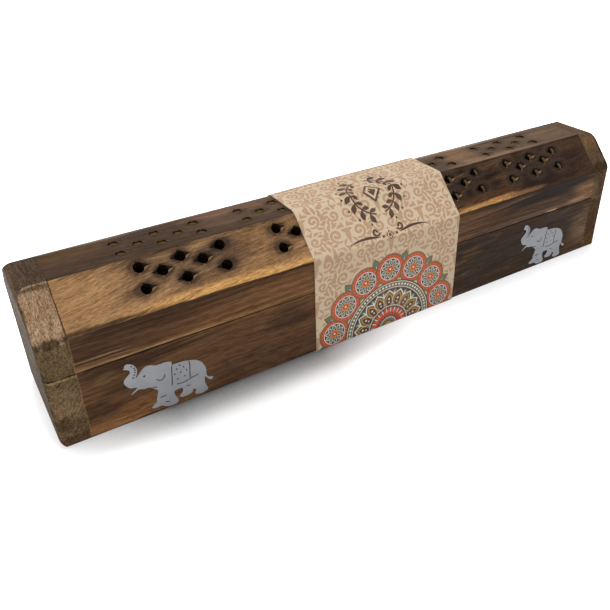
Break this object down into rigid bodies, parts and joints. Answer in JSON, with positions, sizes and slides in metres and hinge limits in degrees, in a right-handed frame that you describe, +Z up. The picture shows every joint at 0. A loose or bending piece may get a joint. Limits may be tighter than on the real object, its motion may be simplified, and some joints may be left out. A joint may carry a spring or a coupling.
{
  "type": "lidded incense box with stick holder",
  "caption": "Long wooden incense box with sloping shoulders, a pierced hinged lid, inlaid elephants, a sliding storage panel and a printed card band.",
  "frame": {"origin": "Under the middle of the box, on the surface that it stands on", "axes": "+X along the box towards the end where the storage panel slides out, -Y towards the front with the two elephants, +Z up"},
  "size_m": [0.305, 0.0578, 0.0652],
  "materials": {
    "dark_wood": "scorched, waxed, long grain",
    "top_wood": "scorched, waxed, grey-brown",
    "slope_wood": "lightly scorched, waxed",
    "end_grain_wood": "end grain, scorched, waxed",
    "plain_wood": "sanded, unfinished",
    "inlay_metal": "satin, engraved",
    "burner_brass": "satin",
    "hinge_brass": "plain",
    "nail_brass": "plain",
    "band_card": "matt, printed"
  },
  "bodies": {
    "base": {"base_front_rail": "dark_wood", "base_back_rail": "dark_wood", "base_left_end": "end_grain_wood", "base_right_end": "end_grain_wood", "burner_floor": "plain_wood", "stick_holder": "burner_brass", "stick_holder_nails": "nail_brass", "cone_dish": "burner_brass", "cone_dish_nail": "nail_brass", "elephant_left": "inlay_metal", "elephant_right": "inlay_metal", "left_hinge_base_leaf": "hinge_brass", "right_hinge_base_leaf": "hinge_brass", "left_hinge_pin": "nail_brass", "right_hinge_pin": "nail_brass", "hinge_base_nails": "nail_brass"},
    "lid": {"lid_top_slat": "top_wood", "lid_front_slat": "slope_wood", "lid_back_slat": "slope_wood", "lid_front_rail": "dark_wood", "lid_back_rail": "dark_wood", "lid_left_end": "end_grain_wood", "lid_right_end": "end_grain_wood", "left_hinge_lid_leaf": "hinge_brass", "right_hinge_lid_leaf": "hinge_brass", "hinge_lid_nails": "nail_brass"},
    "storage": {"storage_panel": "plain_wood"},
    "band": {"card_band": "band_card"}
  },
  "joints": [
    {"name": "lid_hinge", "type": "hinge", "parent": "base", "child": "lid", "pos_m": [0, 0.0286, 0.0324], "axis": [-1, 0, 0], "range_deg": [0, 175], "deforming": ["card_band"]},
    {"name": "storage_slide", "type": "slide", "parent": "base", "child": "storage", "axis": [1, 0, 0], "range_m": [0, 0.28]},
    {"name": "band_slide", "type": "slide", "parent": "base", "child": "band", "axis": [1, 0, 0], "range_m": [-0.2, 0.2]}
  ]
}
